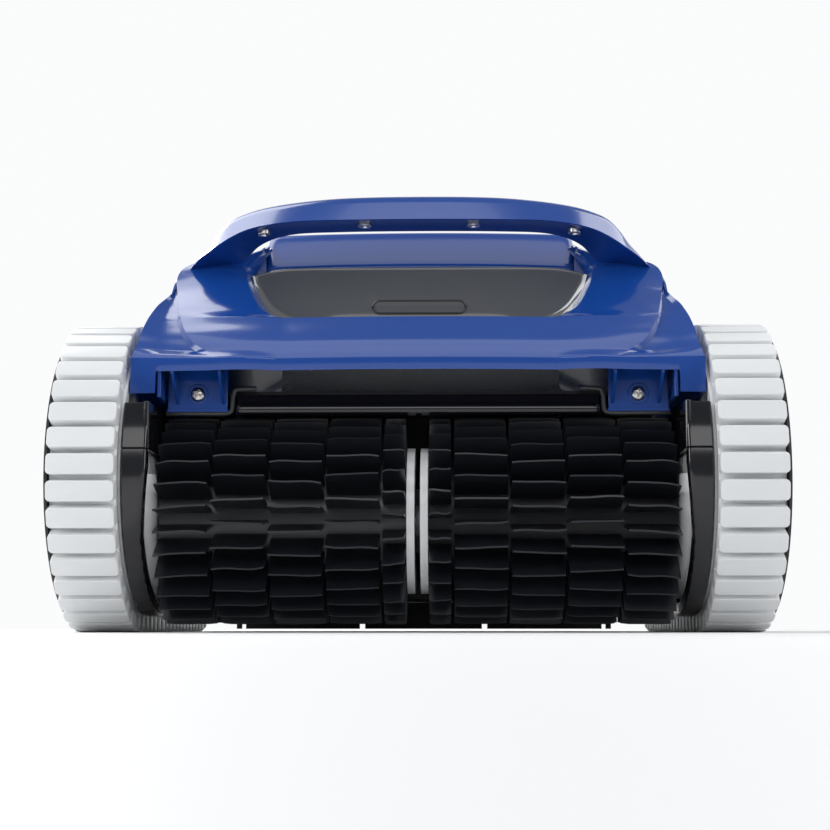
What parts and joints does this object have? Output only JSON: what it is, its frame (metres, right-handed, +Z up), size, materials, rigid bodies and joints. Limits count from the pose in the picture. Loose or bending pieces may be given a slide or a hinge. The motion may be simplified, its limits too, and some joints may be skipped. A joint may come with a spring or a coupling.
{
  "type": "pool cleaner",
  "caption": "Tracked robotic pool cleaner with a split front scrubbing brush, glossy top cover with carry handle, and a hinged filter lid.",
  "frame": {"origin": "centre of the footprint on the floor, under the middle of the tracked body", "axes": "+X to the right seen from the front, +Y from the brush to the rear, +Z up"},
  "size_m": [0.43, 0.4496, 0.288],
  "materials": {
    "cover_blue": "glossy moulded blue ABS",
    "track_white": "satin white rubber",
    "white_plastic": "satin white plastic",
    "black_gloss": "glossy black plastic",
    "black_plastic": "satin black plastic",
    "black_rubber": "dark rubber with a soft sheen",
    "dark_plastic": "satin dark grey plastic",
    "grey_plastic": "translucent grey plastic",
    "steel": "stainless steel",
    "smoked": "glossy smoked grey plastic",
    "seal_red": "silicone",
    "motor_metal": "drawn metal can",
    "board_green": "coated circuit board",
    "foam": "closed-cell foam",
    "mesh": "fine woven filter mesh",
    "gear_ivory": "natural acetal",
    "impeller_plastic": "moulded plastic"
  },
  "bodies": {
    "chassis": {"chassis_pan": "black_plastic", "front_beam": "black_gloss", "brush_bracket": "black_plastic", "brush_hub": "grey_plastic", "brush_axle": "steel", "side_plate_left": "black_gloss", "side_plate_right": "black_gloss", "side_ring_left": "black_gloss", "side_ring_right": "black_gloss", "hub_plate_front_left": "white_plastic", "hub_plate_front_right": "white_plastic", "hub_plate_rear_left": "white_plastic", "hub_plate_rear_right": "white_plastic", "axles": "steel", "track_left": "track_white", "track_right": "track_white", "top_cover": "cover_blue", "handle_top": "cover_blue", "handle_grip": "cover_blue", "handle_screws": "steel", "cover_screws": "steel", "front_window": "smoked", "lid_hinge_pin": "steel", "outlet_grille": "black_plastic", "pump_duct": "black_plastic", "motor_box": "dark_plastic", "motor_box_cover": "dark_plastic", "box_seal": "seal_red", "pump_motor": "motor_metal", "drive_motors": "motor_metal", "control_board": "board_green", "cable_inlet": "black_plastic", "skirt_flaps": "black_rubber", "floats": "foam", "filter_basket": "dark_plastic", "filter_mesh": "mesh", "basket_handle": "dark_plastic"},
    "front_wheel_left": {"wheel_front_left": "white_plastic", "wheel_caps_left": "black_gloss"},
    "front_wheel_right": {"wheel_front_right": "white_plastic", "wheel_caps_right": "black_gloss"},
    "rear_wheel_left": {"wheel_rear_left": "white_plastic", "rear_caps_left": "black_gloss"},
    "rear_wheel_right": {"wheel_rear_right": "white_plastic", "rear_caps_right": "black_gloss"},
    "brush_half_left": {"brush_core_left": "dark_plastic", "brush_fins_left": "black_rubber", "brush_disc_left": "white_plastic", "brush_gear_left": "gear_ivory"},
    "brush_half_right": {"brush_core_right": "dark_plastic", "brush_fins_right": "black_rubber", "brush_disc_right": "white_plastic", "brush_gear_right": "gear_ivory"},
    "pinion_left": {"drive_pinion_left": "gear_ivory"},
    "pinion_right": {"drive_pinion_right": "gear_ivory"},
    "flap_left": {"intake_flap_left": "black_rubber"},
    "flap_right": {"intake_flap_right": "black_rubber"},
    "pump_rotor": {"impeller": "impeller_plastic"},
    "filter_lid": {"lid": "cover_blue"},
    "release_bar": {"lid_release": "smoked"}
  },
  "joints": [
    {"name": "front_wheel_left_spin", "type": "hinge", "parent": "chassis", "child": "front_wheel_left", "pos_m": [-0.194, -0.127, 0.098], "axis": [1, 0, 0], "continuous": true},
    {"name": "rear_wheel_left_spin", "type": "hinge", "parent": "chassis", "child": "rear_wheel_left", "pos_m": [-0.194, 0.127, 0.098], "axis": [1, 0, 0], "continuous": true},
    {"name": "brush_left_spin", "type": "hinge", "parent": "chassis", "child": "brush_half_left", "pos_m": [-0.08, -0.14614, 0.0693], "axis": [1, 0, 0], "continuous": true},
    {"name": "pinion_left_spin", "type": "hinge", "parent": "chassis", "child": "pinion_left", "pos_m": [-0.16, 0.08612, 0.08312], "axis": [1, 0, 0], "continuous": true},
    {"name": "front_wheel_right_spin", "type": "hinge", "parent": "chassis", "child": "front_wheel_right", "pos_m": [0.194, -0.127, 0.098], "axis": [1, 0, 0], "continuous": true},
    {"name": "rear_wheel_right_spin", "type": "hinge", "parent": "chassis", "child": "rear_wheel_right", "pos_m": [0.194, 0.127, 0.098], "axis": [1, 0, 0], "continuous": true},
    {"name": "brush_right_spin", "type": "hinge", "parent": "chassis", "child": "brush_half_right", "pos_m": [0.08, -0.14614, 0.0693], "axis": [1, 0, 0], "continuous": true},
    {"name": "pinion_right_spin", "type": "hinge", "parent": "chassis", "child": "pinion_right", "pos_m": [0.16, 0.08612, 0.08312], "axis": [1, 0, 0], "continuous": true},
    {"name": "flap_left_swing", "type": "hinge", "parent": "chassis", "child": "flap_left", "pos_m": [-0.048, 0.0305, 0.0654], "axis": [-1, 0, 0], "range_deg": [0, 60]},
    {"name": "flap_right_swing", "type": "hinge", "parent": "chassis", "child": "flap_right", "pos_m": [0.048, 0.0305, 0.0654], "axis": [-1, 0, 0], "range_deg": [0, 60]},
    {"name": "impeller_spin", "type": "hinge", "parent": "chassis", "child": "pump_rotor", "pos_m": [0, 0.143, 0.12], "axis": [0, 0, 1], "continuous": true},
    {"name": "lid_hinge", "type": "hinge", "parent": "chassis", "child": "filter_lid", "pos_m": [0, 0.08, 0.26], "axis": [-1, 0, 0], "range_deg": [0, 85]},
    {"name": "release_push", "type": "slide", "parent": "chassis", "child": "release_bar", "axis": [0, 1, 0], "range_m": [0, 0.003], "stiffness_N_per_m": 400, "springref_m": -0.001}
  ],
  "couplings": [
    {"joint": "rear_wheel_left_spin", "follows": "front_wheel_left_spin", "ratio": 1},
    {"joint": "brush_left_spin", "follows": "front_wheel_left_spin", "ratio": 2.5333},
    {"joint": "pinion_left_spin", "follows": "front_wheel_left_spin", "ratio": 4.2222},
    {"joint": "rear_wheel_right_spin", "follows": "front_wheel_right_spin", "ratio": 1},
    {"joint": "brush_right_spin", "follows": "front_wheel_right_spin", "ratio": 2.5333},
    {"joint": "pinion_right_spin", "follows": "front_wheel_right_spin", "ratio": 4.2222}
  ]
}
